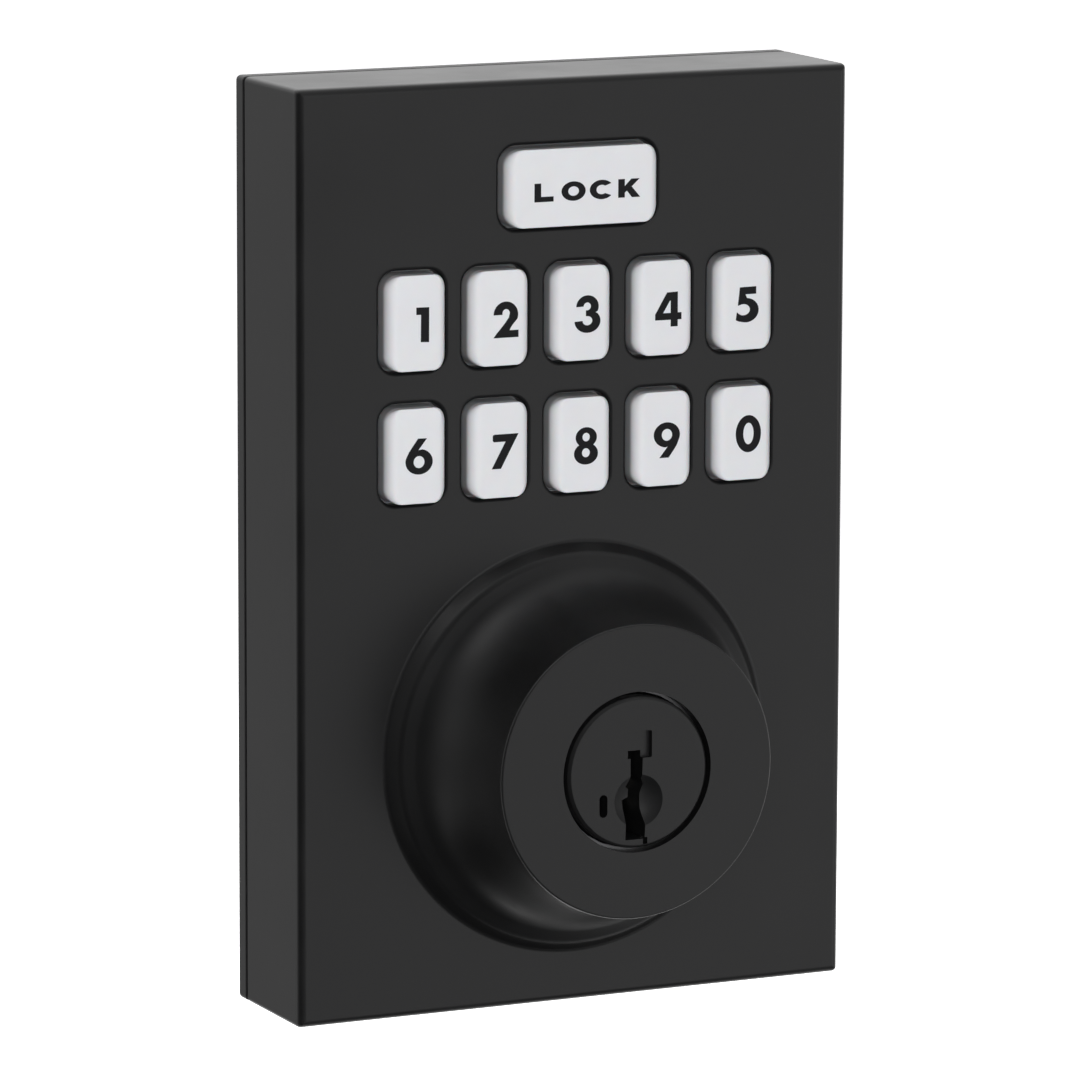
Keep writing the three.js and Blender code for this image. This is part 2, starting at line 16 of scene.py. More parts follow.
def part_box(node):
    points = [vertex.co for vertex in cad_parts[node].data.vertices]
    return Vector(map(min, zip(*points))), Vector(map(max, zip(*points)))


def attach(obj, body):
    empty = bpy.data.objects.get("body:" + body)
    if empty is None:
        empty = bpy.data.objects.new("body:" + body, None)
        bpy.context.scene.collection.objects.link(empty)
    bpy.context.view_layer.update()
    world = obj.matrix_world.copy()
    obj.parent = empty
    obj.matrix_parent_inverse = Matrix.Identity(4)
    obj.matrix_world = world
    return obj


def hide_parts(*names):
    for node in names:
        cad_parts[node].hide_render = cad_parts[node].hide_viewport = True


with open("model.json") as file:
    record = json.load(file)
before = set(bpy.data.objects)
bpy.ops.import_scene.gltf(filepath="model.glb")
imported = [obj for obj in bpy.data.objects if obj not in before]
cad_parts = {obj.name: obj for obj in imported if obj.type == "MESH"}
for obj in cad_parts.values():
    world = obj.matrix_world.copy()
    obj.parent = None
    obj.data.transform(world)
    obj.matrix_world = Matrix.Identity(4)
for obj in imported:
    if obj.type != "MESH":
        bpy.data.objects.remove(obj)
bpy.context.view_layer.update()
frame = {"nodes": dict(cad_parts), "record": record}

MM = 0.001


# ---------------------------------------------------------------- sizes, in millimetres


def node_box(node):
    """Lowest and highest corner of a CAD node in millimetres."""
    low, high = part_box(node)
    return low / MM, high / MM


HOUSING_LOW, HOUSING_HIGH = node_box("front_housing")
BACK_LOW, BACK_HIGH = node_box("back_plate")
KEY_REACH = 1.95  # how far the keys stand out of the housing
FRONT = node_box("key_1")[0].y + KEY_REACH  # the housing's front plane
DISC = HOUSING_LOW.y  # the flat disc at the top of the dome
SEAM = -3.1  # the rear edge of the housing's walls
WALL = 2.2  # the thickness of the housing's walls
WALL_REAR = FRONT + WALL
CENTRE_Z = (HOUSING_LOW.z + HOUSING_HIGH.z) / 2
EDGE = 1.15  # the rounding round the housing's front
CORNER = 0.7  # the rounding of the housing's four corners, seen from the front
DISC_HOLE = 10.68  # the radius of the hole in which the key plug stands
DIGITS = "1234567890"


# ---------------------------------------------------------------- outlines and meshes


class Outline:
    """A rounded rectangle seen from the front; it is a circle when corner is half its size."""

    def __init__(self, width, height, corner, x=0.0, z=0.0, steps=8):
        self.half = (width / 2, height / 2)
        self.corner = corner
        self.centre = (x, z)
        self.steps = steps

    def points(self, offset, y):
        """The outline moved outwards by offset, at depth y, anticlockwise from the front."""
        corner = max(self.corner + offset, 0.04)
        right = self.half[0] + offset - corner
        top = self.half[1] + offset - corner
        is_round = max(right, top) < 1e-6
        made = []
        for quarter, (sx, sz) in enumerate([(1, 1), (-1, 1), (-1, -1), (1, -1)]):
            for i in range(self.steps if is_round else self.steps + 1):
                angle = math.radians(90 * (quarter + i / self.steps))
                px = self.centre[0] + sx * right + corner * math.cos(angle)
                pz = self.centre[1] + sz * top + corner * math.sin(angle)
                made.append(Vector((px, y, pz)))
        return made

    def directions(self):
        """The outward direction at each of the points of an outline with straight sides."""
        angles = [
            math.radians(90 * (quarter + i / self.steps))
            for quarter in range(4)
            for i in range(self.steps + 1)
        ]
        return [Vector((math.cos(a), 0, math.sin(a))) for a in angles]


def circle(radius, x=0.0, z=0.0, steps=16):
    return Outline(2 * radius, 2 * radius, radius, x, z, steps)


def rounding(radius, y, rearwards, steps=6, outwards=True):
    """Profile points round a quarter circle at a wall's front or rear edge.

    At y the profile lies in the face, inside the outline by radius; it ends on the wall.
    rearwards is 1 for a front edge and -1 for a rear edge, which runs the other way.
    """
    side = -1 if outwards else 1
    points = []
    for i in range(steps + 1):
        angle = math.radians(90 * i / steps)
        inset = radius * (1 - math.sin(angle))
        points.append((side * inset, y + rearwards * radius * (1 - math.cos(angle))))
    return points if rearwards > 0 else points[::-1]


FLAT_AREA = 60  # faces larger than this, in square millimetres, keep their own normal


def fans(vertex):
    """The groups of faces round a vertex that no sharp edge divides."""
    left = set(vertex.link_faces)
    while left:
        fan = [left.pop()]
        for face in fan:
            for edge in face.edges:
                if edge.smooth and vertex in edge.verts:
                    found = [other for other in edge.link_faces if other in left]
                    left.difference_update(found)
                    fan += found
        yield fan


def shade(piece, smooth_angle):
    """Smooth shading with sharp edges, in which flat faces stay flat up to their borders."""
    mesh = piece.data
    mesh.shade_smooth()
    mesh.set_sharp_from_angle(angle=math.radians(smooth_angle))
    bm = bmesh.new()
    bm.from_mesh(mesh)
    areas = {face: face.calc_area() for face in bm.faces}
    flat = {
        face for face in bm.faces
        if abs(face.normal.y) > 0.9999 or areas[face] > FLAT_AREA * MM * MM
    }
    normals = [Vector((0, 0, 1))] * len(mesh.loops)
    for vertex in bm.verts:
        for fan in fans(vertex):
            deciding = [face for face in fan if face in flat] or fan
            normal = sum((face.normal * areas[face] for face in deciding), Vector()).normalized()
            for face in fan:
                start = mesh.polygons[face.index].loop_start
                for i, corner in enumerate(face.loops):
                    if corner.vert == vertex:
                        normals[start + i] = normal
    bm.free()
    mesh.normals_split_custom_set(normals)


def finish_mesh(name, bm, smooth_angle=35, weld=1e-4):
    """Turns a bmesh in millimetres into a shaded object in metres."""
    bmesh.ops.remove_doubles(bm, verts=bm.verts, dist=weld)
    bmesh.ops.dissolve_degenerate(bm, edges=bm.edges, dist=1e-5)
    bmesh.ops.recalc_face_normals(bm, faces=bm.faces)
    bm.transform(Matrix.Scale(MM, 4))
    mesh = bpy.data.meshes.new(name)
    bm.to_mesh(mesh)
    bm.free()
    made = bpy.data.objects.new(name, mesh)
    bpy.context.scene.collection.objects.link(made)
    shade(made, smooth_angle)
    return made


def add_rings(bm, rings):
    """Quads between neighbouring rings of points; returns the rings as vertices."""
    made = [[bm.verts.new(p) for p in ring] for ring in rings]
    for a, b in zip(made, made[1:]):
        for i in range(len(a)):
            j = (i + 1) % len(a)
            bm.faces.new((a[i], a[j], b[j], b[i]))
    return made


def fill(bm, *rings):
    """A flat face bounded by the first ring, with the others as holes in it."""
    edges = []
    for ring in rings:
        pairs = zip(ring, ring[1:] + ring[:1])
        edges += [bm.edges.get(pair) or bm.edges.new(pair) for pair in pairs]
    bmesh.ops.triangle_fill(bm, use_beauty=True, edges=edges, normal=(0, 1, 0))


def walled_sheet(outline, profile, holes=()):
    """A closed bmesh with a flat front and a flat rear face, which holes pass through.

    profile and each hole's own profile are (offset, y) points from the front face to the rear.
    """
    bm = bmesh.new()
    walls = [
        add_rings(bm, [shape.points(offset, y) for offset, y in steps])
        for shape, steps in [(outline, profile), *holes]
    ]
    fill(bm, *[wall[0] for wall in walls])
    fill(bm, *[wall[-1] for wall in walls])
    return bm


def turned(name, profile, x=0.0, z=0.0, steps=48, smooth_angle=35):
    """A (radius, y) profile turned about the line x, z along Y. It starts and ends on the axis."""
    bm = bmesh.new()
    rings = []
    for radius, y in profile:
        if radius < 1e-6:
            rings.append([bm.verts.new((x, y, z))])
            continue
        angles = [math.tau * i / steps for i in range(steps)]
        ring = [(x + radius * math.cos(a), y, z + radius * math.sin(a)) for a in angles]
        rings.append([bm.verts.new(p) for p in ring])
    for a, b in zip(rings, rings[1:]):
        for i in range(steps):
            j = (i + 1) % steps
            corners = [a[i % len(a)], a[j % len(a)], b[j % len(b)], b[i % len(b)]]
            bm.faces.new(list(dict.fromkeys(corners)))
    return finish_mesh(name, bm, smooth_angle)


def prism(name, points, front, rear):
    """A plain prism in millimetres on (x, z) points, used to cut and to join."""
    bm = bmesh.new()
    rings = add_rings(bm, [[(x, y, z) for x, z in points] for y in (front, rear)])
    bm.faces.new(rings[0])
    bm.faces.new(rings[1][::-1])
    return finish_mesh(name, bm)


def combine(target, operation, tools):
    """Joins tools to target or cuts them from it, and removes them."""
    for tool in tools:
        modifier = target.modifiers.new("combine", "BOOLEAN")
        modifier.operation = operation
        modifier.solver = "EXACT"
        modifier.object = tool
    evaluated = target.evaluated_get(bpy.context.evaluated_depsgraph_get())
    mesh = bpy.data.meshes.new_from_object(evaluated)
    target.modifiers.clear()
    target.data = mesh
    for tool in tools:
        bpy.data.objects.remove(tool)
    return target


def soften(target, width, steps=2, angle=35):
    """Rounds the sharp edges of target by width, in millimetres."""
    bevel = target.modifiers.new("edges", "BEVEL")
    bevel.width = width * MM
    bevel.segments = steps
    bevel.limit_method = "ANGLE"
    bevel.angle_limit = math.radians(angle)
    bevel.harden_normals = False
    evaluated = target.evaluated_get(bpy.context.evaluated_depsgraph_get())
    mesh = bpy.data.meshes.new_from_object(evaluated)
    target.modifiers.clear()
    target.data = mesh
    shade(target, angle)
    return target


# ---------------------------------------------------------------- materials


class Nodes:
    """A material's node tree with short calls for the nodes that the finishes share."""

    def __init__(self, name):
        self.material = bpy.data.materials.new(name)
        self.material.use_nodes = True
        self.tree = self.material.node_tree
        self.shader = self.tree.nodes["Principled BSDF"]
        self.coordinates = self.tree.nodes.new("ShaderNodeTexCoord").outputs["Object"]

    def link(self, source, target):
        self.tree.links.new(source, target)

    def stretched(self, scale):
        mapping = self.tree.nodes.new("ShaderNodeMapping")
        mapping.inputs["Scale"].default_value = scale
        self.link(self.coordinates, mapping.inputs["Vector"])
        return mapping.outputs["Vector"]

    def noise(self, per_metre, detail=3.0, roughness=0.55, vector=None):
        node = self.tree.nodes.new("ShaderNodeTexNoise")
        node.inputs["Scale"].default_value = per_metre
        node.inputs["Detail"].default_value = detail
        node.inputs["Roughness"].default_value = roughness
        self.link(vector or self.coordinates, node.inputs["Vector"])
        return node.outputs["Fac"]

    def cells(self, per_metre):
        node = self.tree.nodes.new("ShaderNodeTexVoronoi")
        node.inputs["Scale"].default_value = per_metre
        self.link(self.coordinates, node.inputs["Vector"])
        return node.outputs["Distance"]

    def between(self, source, low, high, start=0.3, end=0.7):
        node = self.tree.nodes.new("ShaderNodeMapRange")
        node.inputs["From Min"].default_value = start
        node.inputs["From Max"].default_value = end
        node.inputs["To Min"].default_value = low
        node.inputs["To Max"].default_value = high
        self.link(source, node.inputs["Value"])
        return node.outputs["Result"]

    def mixed(self, factor, first, second):
        node = self.tree.nodes.new("ShaderNodeMix")
        node.data_type = "RGBA"
        self.link(factor, node.inputs["Factor"])
        for colour, socket in ((first, node.inputs[6]), (second, node.inputs[7])):
            if isinstance(colour, tuple):
                socket.default_value = (*colour, 1)
            else:
                self.link(colour, socket)
        return node.outputs[2]

    def bump(self, height, distance, strength=1.0, under=None):
        node = self.tree.nodes.new("ShaderNodeBump")
        node.inputs["Distance"].default_value = distance
        node.inputs["Strength"].default_value = strength
        self.link(height, node.inputs["Height"])
        if under:
            self.link(under, node.inputs["Normal"])
        return node.outputs["Normal"]


def finish(name, colour, roughness, metallic=0.0, spread=0.12, grain=2500, depth=0.004,
           mottle=90, rough_spread=0.05, brushed=None, cells=None, **sockets):
    """A procedural finish: mottled colour, uneven roughness and a fine grain in relief.

    grain and mottle are features per metre and depth is the grain's height in millimetres.
    brushed stretches the grain by a scale per axis, and cells adds a leathery pattern to it.
    """
    nodes = Nodes(name)
    shader = nodes.shader
    vector = nodes.stretched(brushed) if brushed else None
    fine = nodes.noise(grain, 4.0, 0.6, vector)
    broad = nodes.noise(mottle, 4.0)
    darker = tuple(c * (1 - spread) for c in colour)
    lighter = tuple(min(1.0, c * (1 + spread)) for c in colour)
    tint = nodes.mixed(nodes.between(broad, 0, 1), darker, lighter)
    tint = nodes.mixed(nodes.between(fine, 0, 0.35), tint, lighter)
    nodes.link(tint, shader.inputs["Base Color"])
    rough = nodes.between(broad, roughness - rough_spread, roughness + rough_spread)
    nodes.link(rough, shader.inputs["Roughness"])
    shader.inputs["Metallic"].default_value = metallic
    relief = nodes.bump(fine, depth * MM)
    if cells:
        relief = nodes.bump(nodes.cells(cells), depth * MM, 0.8, relief)
    nodes.link(relief, shader.inputs["Normal"])
    for socket, value in sockets.items():
        shader.inputs[socket.replace("_", " ")].default_value = value
    return nodes.material


def paint_shade_behind(material, start, end, share):
    """Paints shade into a finish: darkens it to a share of its colour between two depths, in
    millimetres along Y.
    """
    tree = material.node_tree
    base = tree.nodes["Principled BSDF"].inputs["Base Color"]
    tint = base.links[0].from_socket
    split = tree.nodes.new("ShaderNodeSeparateXYZ")
    place = tree.nodes.new("ShaderNodeTexCoord").outputs["Object"]
    tree.links.new(place, split.inputs["Vector"])
    shade_ramp = tree.nodes.new("ShaderNodeMapRange")
    shade_ramp.inputs["From Min"].default_value = start * MM
    shade_ramp.inputs["From Max"].default_value = end * MM
    shade_ramp.inputs["To Min"].default_value = 1.0
    shade_ramp.inputs["To Max"].default_value = share
    tree.links.new(split.outputs["Y"], shade_ramp.inputs["Value"])
    shaded_tint = tree.nodes.new("ShaderNodeVectorMath")
    shaded_tint.operation = "SCALE"
    tree.links.new(tint, shaded_tint.inputs["Vector"])
    tree.links.new(shade_ramp.outputs["Result"], shaded_tint.inputs["Scale"])
    tree.links.new(shaded_tint.outputs["Vector"], base)


BLACK_COAT = finish("black_coat", (0.0075, 0.0075, 0.0078), 0.36, spread=0.2, grain=3400,
                    depth=0.0035, mottle=60)
PLUG_COAT = finish("plug_coat", (0.008, 0.008, 0.0083), 0.38, spread=0.2, grain=5200,
                   depth=0.0025, mottle=140)
KEY_WHITE = finish("key_white", (0.78, 0.785, 0.81), 0.45, spread=0.015, grain=6500,
                   depth=0.002, mottle=240, Subsurface_Weight=0.12, Subsurface_Scale=0.0012,
                   IOR=1.42)
KEY_TIP = FRONT - KEY_REACH
# Painted shade: the keys' flanks darken towards their feet, deep in the windows, to stand for the
# shade in the gaps round them.
paint_shade_behind(KEY_WHITE, KEY_TIP + 1.2, KEY_TIP + 1.9, 0.45)
DIGIT_INK = finish("digit_ink", (0.008, 0.008, 0.009), 0.55, spread=0.3, grain=8000, depth=0.002,
                   Specular_IOR_Level=0.2)
BACK_PLASTIC = finish("back_plastic", (0.012, 0.012, 0.0125), 0.5, spread=0.2, grain=4200,
                      depth=0.008, cells=5200)
BLACK_PLASTIC = finish("black_plastic", (0.018, 0.018, 0.018), 0.5, spread=0.2, depth=0.006)
BLACK_RUBBER = finish("black_rubber", (0.01, 0.01, 0.01), 0.72, spread=0.25, grain=5000,
                      depth=0.01)
GREY_RUBBER = finish("grey_rubber", (0.3, 0.3, 0.3), 0.65, grain=4000, depth=0.006)
BOARD_GREEN = finish("board_green", (0.02, 0.12, 0.05), 0.35, spread=0.25, mottle=500,
                     grain=3000, depth=0.004)
CREAM_NYLON = finish("cream_nylon", (0.62, 0.57, 0.45), 0.45, spread=0.05, depth=0.003)
CAST_ZINC = finish("cast_zinc", (0.36, 0.36, 0.37), 0.45, 1.0, grain=2200, depth=0.012,
                   rough_spread=0.12)
PLATED_STEEL = finish("plated_steel", (0.55, 0.53, 0.48), 0.32, 1.0, grain=1800, depth=0.003,
                      brushed=(1, 0.06, 1), rough_spread=0.1)
BLADE_STEEL = finish("blade_steel", (0.5, 0.5, 0.49), 0.34, 1.0, grain=2600, depth=0.004,
                     brushed=(1, 0.03, 1), rough_spread=0.1)
SCREW_STEEL = finish("screw_steel", (0.56, 0.55, 0.52), 0.3, 1.0, grain=2600, depth=0.003,
                     rough_spread=0.1)
SPRING_STEEL = finish("spring_steel", (0.55, 0.55, 0.55), 0.28, 1.0, grain=3000, depth=0.002)
NICKEL = finish("nickel_silver", (0.62, 0.6, 0.55), 0.3, 1.0, grain=3600, depth=0.003)
BRASS = finish("brass", (0.6, 0.42, 0.16), 0.32, 1.0, grain=3000, depth=0.003)

SLOT_FINISH = {
    "black_paint": BLACK_COAT,
    "plug_black": PLUG_COAT,
    "key_white": KEY_WHITE,
    "screw_steel": SCREW_STEEL,
    "pin_nickel": NICKEL,
    "spring_steel": SPRING_STEEL,
    "grey_rubber": GREY_RUBBER,
    "board_green": BOARD_GREEN,
    "black_plastic": BLACK_PLASTIC,
    "cream_plastic": CREAM_NYLON,
    "back_plate_black": BACK_PLASTIC,
    "black_rubber": BLACK_RUBBER,
    "cast_zinc": CAST_ZINC,
    "plated_steel": PLATED_STEEL,
    "brass": BRASS,
    "blade_steel": BLADE_STEEL,
}
SLOT_OF = {part["node"]: part["material_slot"] for part in frame["record"]["subparts"]}
BODY_OF = {
    node: body
    for body, nodes in frame["record"]["behaviour"]["bodies"].items()
    for node in nodes
}

for node, cad_object in frame["nodes"].items():
    cad_object.data.materials.clear()
    cad_object.data.materials.append(SLOT_FINISH[SLOT_OF[node]])


def stand_for(piece, *nodes):
    """piece takes the place, the finish and the body of these CAD nodes."""
    piece.data.materials.clear()
    piece.data.materials.append(SLOT_FINISH[SLOT_OF[nodes[0]]])
    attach(piece, BODY_OF[nodes[0]])
    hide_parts(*nodes)
    return piece


# ---------------------------------------------------------------- front housing

DIGIT_KEY = (8.6, 12.6, 2.0)  # width, height and corner
LOCK_KEY = (22.1, 10.3, 2.2)


def middle_of(node):
    """The middle of a CAD node as (x, z), seen from the front."""
    low, high = node_box(node)
    return (low.x + high.x) / 2, (low.z + high.z) / 2


KEY_SHAPES = {
    "key_" + digit: Outline(*DIGIT_KEY, *middle_of("key_" + digit)) for digit in DIGITS
}
KEY_SHAPES["key_lock"] = Outline(*LOCK_KEY, *middle_of("key_lock"))
WINDOW_GAP = 0.4  # between a key and its window
WINDOW_EDGE = 0.55  # the rounding round a window

# The dome: the disc's radius, how far its hollow curve sweeps outwards and rearwards from
# there, the angle in degrees at which that curve meets the foot, and the rim's rounding.
DOME = {"rim": 19.6, "sweep": 7.0, "rise": 16.6, "start": 16, "edge": 0.3}
# The roll round the dome's foot: a hollow fillet, a short slope and a rounded top, which turn
# from 0 to slope and back to top, in degrees.
FOOT = {"radius": 28.1, "fillet": 0.8, "slope": 56, "run": 0.86, "roll": 2.0, "top": 25}


def turn_of(start, end, count):
    """Angles in radians from start to end, in degrees, without the first one."""
    return [math.radians(start + (end - start) * i / count) for i in range(1, count + 1)]


def foot_profile():
    """The roll as (radius, y), from the housing's front inwards to the dome's hollow curve."""
    slope = math.radians(FOOT["slope"])
    radius = FOOT["radius"]
    profile = [(radius, FRONT)]
    for angle in turn_of(0, FOOT["slope"], 6):
        inwards = FOOT["fillet"] * math.sin(angle)
        profile.append((radius - inwards, FRONT - FOOT["fillet"] * (1 - math.cos(angle))))
    radius, y = profile[-1]
    radius -= FOOT["run"]
    y -= FOOT["run"] * math.tan(slope)
    profile.append((radius, y))
    for angle in turn_of(FOOT["slope"], FOOT["top"], 6):
        inwards = FOOT["roll"] * (math.sin(slope) - math.sin(angle))
        profile.append((radius - inwards, y - FOOT["roll"] * (math.cos(angle) - math.cos(slope))))
    return profile


def dome_profile():
    """The dome as (radius, y), from its foot over the disc and back inside to the front wall."""
    profile = foot_profile()
    for angle in [math.radians(DOME["start"]), *turn_of(DOME["start"], 90, 22)]:
        radius = DOME["rim"] + DOME["sweep"] * (1 - math.sin(angle))
        profile.append((radius, DISC + DOME["edge"] + DOME["rise"] * math.cos(angle)))
    for angle in turn_of(0, 90, 4):
        inset = DOME["edge"] * (1 - math.cos(angle))
        profile.append((DOME["rim"] - inset, DISC + DOME["edge"] * (1 - math.sin(angle))))
    hole_edge = 0.04  # the hole for the plug has an almost sharp edge
    for angle in [0.0, *turn_of(0, 90, 3)]:
        inset = hole_edge * (1 - math.sin(angle))
        profile.append((DISC_HOLE + inset, DISC + hole_edge * (1 - math.cos(angle))))
    disc_thickness = 1.8
    inside = [(DISC_HOLE, disc_thickness), (17.4, disc_thickness), (17.8, 3.8),
              (18.7, FRONT - DISC - 7)]
    profile += [(radius, DISC + depth) for radius, depth in inside]
    profile += [(20.8, FRONT - 2), (23.2, WALL_REAR)]
    return profile


def front_housing():
    outline = Outline(HOUSING_HIGH.x * 2, HOUSING_HIGH.z - HOUSING_LOW.z, CORNER, 0, CENTRE_Z, 8)
    outer = rounding(EDGE, FRONT, 1, 10) + rounding(0.25, SEAM, -1, 3)
    outer += [(0.2 - WALL, SEAM), (-WALL, SEAM - 0.2), (-WALL, WALL_REAR)]
    foot = circle(FOOT["radius"], steps=36)
    holes = [(foot, [(radius - FOOT["radius"], y) for radius, y in dome_profile()])]
    for key in KEY_SHAPES.values():
        window = Outline(0, 0, key.corner + WINDOW_GAP, *key.centre, 8)
        window.half = (key.half[0] + WINDOW_GAP, key.half[1] + WINDOW_GAP)
        rim = rounding(WINDOW_EDGE, FRONT, 1, 6, outwards=False)
        holes.append((window, rim + [(0, WALL_REAR)]))
    return finish_mesh("housing_cover", walled_sheet(outline, outer, holes), 40)


stand_for(front_housing(), "front_housing")

# ---------------------------------------------------------------- keys

SIDE_EDGE = (1.4, 1.6)  # how far and how deep the front edge is rounded at the left and right
TOP_EDGE = 0.12  # and at the top and foot
KEY_CROWN = 0.04  # how far the middle of a key's face stands out


def key_cap(name, shape):
    """A cap with a stop flange behind, straight flanks, rounded edges and a slight crown."""
    flange_low, flange_high = WALL_REAR + 0.3, WALL_REAR + 1.3
    steps = [(0.8, flange_high), (0.8, flange_low), (0.25, flange_low), (0, flange_low - 0.25)]
    rings = [shape.points(offset, y) for offset, y in steps]
    outwards = shape.directions()
    outline = shape.points(0, 0)
    shares = [abs(way.x) ** 1.5 for way in outwards]
    edge_steps, face_rings = 10, 5
    for i in range(edge_steps + 1):
        angle = math.radians(90 * i / edge_steps)
        ring = []
        for point, way, share in zip(outline, outwards, shares):
            inset_radius, depth_radius = (TOP_EDGE + (side - TOP_EDGE) * share for side in SIDE_EDGE)
            inset = inset_radius * (1 - math.cos(angle))
            depth = KEY_CROWN + depth_radius * (1 - math.sin(angle))
            ring.append(point - way * inset + Vector((0, KEY_TIP + depth, 0)))
        rings.append(ring)
    centre = Vector((shape.centre[0], KEY_TIP, shape.centre[1]))
    edge_ring = rings[-1]
    for i in range(1, face_rings + 1):
        share = i / (face_rings + 0.3)  # the last ring stays a little off the middle
        ring = [point.lerp(centre, share) for point in edge_ring]
        for point in ring:
            point.y = KEY_TIP + KEY_CROWN * (1 - share) ** 2
        rings.append(ring)
    bm = bmesh.new()
    made = add_rings(bm, rings)
    bm.faces.new(made[0])
    bm.faces.new(made[-1][::-1])
    return finish_mesh(name + "_cap", bm, 40)


for name, shape in KEY_SHAPES.items():
    stand_for(key_cap(name, shape), name)

# ---------------------------------------------------------------- digits and the lock key's word

MARK_OFFSET = (0.45, -0.45)  # the marks stand a little right of and below each key's middle
WORD_OFFSET = (0.45, -0.55)
MARK_FRONT = KEY_TIP - 0.02
MARK_REAR = MARK_FRONT + 0.12


def arc(x, z, radius_x, radius_z, start, end):
    """Points along an ellipse from one angle to another, in degrees."""
    count = max(6, round(abs(end - start) / 9))
    angles = [math.radians(start + (end - start) * i / count) for i in range(count + 1)]
    return [(x + radius_x * math.cos(a), z + radius_z * math.sin(a)) for a in angles]


def ellipse(x, z, radius_x, radius_z):
    return arc(x, z, radius_x, radius_z, 0, 351)


# Each digit is an outline and the counters inside it, in millimetres about the digit's middle.
DIGIT_SHAPES = {
    "1": ([(-0.74, 2.55), (1.1, 2.5), (1.08, -2.08), (-0.1, -2.03), (-0.07, 1.56),
           (-0.74, 1.58)], []),
    "2": ([*arc(0.17, 0.87, 1.77, 1.75, 180, -20), (1.6, 0.02), (1.12, -0.5), (0.78, -1.0),
           (0.72, -1.2), (2.0, -1.2), (2.0, -2.15), (-1.62, -2.15), (-1.1, -1.5),
           (-0.63, -1.0), (-0.18, -0.5), (0.23, 0), (0.6, 0.5),
           *arc(0.2, 1.07, 0.53, 0.55, -20, 180), (-0.32, 0.88)], []),
    "3": ([*arc(0.07, 1.27, 1.63, 1.5, 180, -25), (1.23, 0.47),
           *arc(0.08, -0.66, 1.88, 1.55, 42, -180), *arc(0.06, -0.6, 0.71, 0.61, 180, 450),
           (-0.16, 0.02), (-0.16, 0.79), *arc(0.03, 1.3, 0.53, 0.52, -90, 180)], []),
    "4": ([(-0.22, 2.48), (1.37, 2.53), (1.37, -0.25), (1.92, -0.25), (1.92, -1.18),
           (1.37, -1.18), (1.37, -2.09), (0.34, -2.09), (0.34, -1.18), (-1.95, -1.16),
           (-1.95, -0.4)],
          [[(0.33, 1.4), (0.33, -0.27), (-0.78, -0.25), (0.16, 1.3)]]),
    "5": ([(-1.38, 2.56), (1.04, 2.59), (1.04, 1.59), (-0.54, 1.59), (-0.61, 1.05),
           *arc(-0.45, -0.55, 1.88, 1.63, 95, -105), (-1.5, -2.02), (-1.96, -1.82),
           (-1.81, -0.75), (-1.5, -1.0), *arc(-0.85, -0.46, 0.97, 0.75, -110, 125),
           (-1.67, 0.11)], []),
    "6": ([(-0.48, 2.8), (0.79, 2.77), (-0.44, 1.27),
           *arc(-0.335, -0.27, 1.95, 1.68, 75, -210), (-1.75, 1.09), (-1.12, 1.95)],
          [ellipse(-0.345, -0.3, 0.775, 0.795)]),
    "7": ([(2.04, 2.6), (-0.49, -1.98), (-1.83, -1.98), (0.17, 1.6),
           *arc(-1.4, 1.85, 0.28, 0.25, 270, 180), *arc(-1.4, 2.35, 0.28, 0.25, 180, 90)], []),
    "8": ([*arc(-0.03, 1.4, 1.55, 1.35, -50, 230), *arc(-0.06, -0.78, 1.75, 1.45, 123, 417)],
          [ellipse(-0.05, 1.43, 0.53, 0.57), ellipse(-0.08, -0.65, 0.57, 0.6)]),
    "9": ([(0, -0.62), *arc(-0.12, 0.96, 1.93, 1.68, -95, -375), (1.4, -0.36), (0.98, -1.0),
           (0.16, -2.1), (-1.2, -2.1)],
          [ellipse(-0.11, 0.96, 0.77, 0.79)]),
    "0": (ellipse(0.05, 0.34, 1.88, 2.5), [ellipse(0.06, 0.36, 0.77, 1.45)]),
}

# Upright capitals on a line, each drawn from its own left edge.
LETTER_HEIGHT = 2.45
LETTER_PITCH = 4.05
LAST_LETTER_WIDTH = 3.2
LETTER_SHAPES = [
    ([(0, 0), (2.75, 0), (2.75, 0.68), (0.95, 0.68), (0.95, 2.45), (0, 2.45)], []),
    (ellipse(1.6, 1.225, 1.75, 1.28), [ellipse(1.6, 1.225, 0.78, 0.62)]),
    ([*arc(1.65, 1.225, 1.75, 1.28, 38, 322), *arc(1.65, 1.225, 0.78, 0.62, 308, 52)], []),
    ([(0, 0), (0.95, 0), (0.95, 0.62), (1.25, 0.9), (2.0, 0), (3.2, 0), (1.95, 1.42),
      (3.1, 2.45), (1.9, 2.45), (0.95, 1.5), (0.95, 2.45), (0, 2.45)], []),
]


def add_mark(name, shapes, key_name, offset):
    """Thin printed shapes that stand 0.02 mm proud of a key's face."""
    x, z = KEY_SHAPES[key_name].centre
    bm = bmesh.new()
    for outline, counters in shapes:
        walls = [
            add_rings(bm, [
                [(x + offset[0] + px, y, z + offset[1] + pz) for px, pz in loop]
                for y in (MARK_FRONT, MARK_REAR)
            ])
            for loop in (outline, *counters)
        ]
        fill(bm, *[wall[0] for wall in walls])
        fill(bm, *[wall[1] for wall in walls])
    mark = finish_mesh(name, bm, weld=1e-3)
    mark.data.materials.append(DIGIT_INK)
    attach(mark, BODY_OF[key_name])


for digit in DIGITS:
    add_mark("digit_" + digit, [DIGIT_SHAPES[digit]], "key_" + digit, MARK_OFFSET)

word_width = (len(LETTER_SHAPES) - 1) * LETTER_PITCH + LAST_LETTER_WIDTH
word = []
for i, (outline, counters) in enumerate(LETTER_SHAPES):
    shift_x = i * LETTER_PITCH - word_width / 2
    shift_z = -LETTER_HEIGHT / 2
    moved = [[(px + shift_x, pz + shift_z) for px, pz in loop] for loop in (outline, *counters)]
    word.append((moved[0], moved[1:]))
add_mark("lock_word", word, "key_lock", WORD_OFFSET)

# ---------------------------------------------------------------- key plug

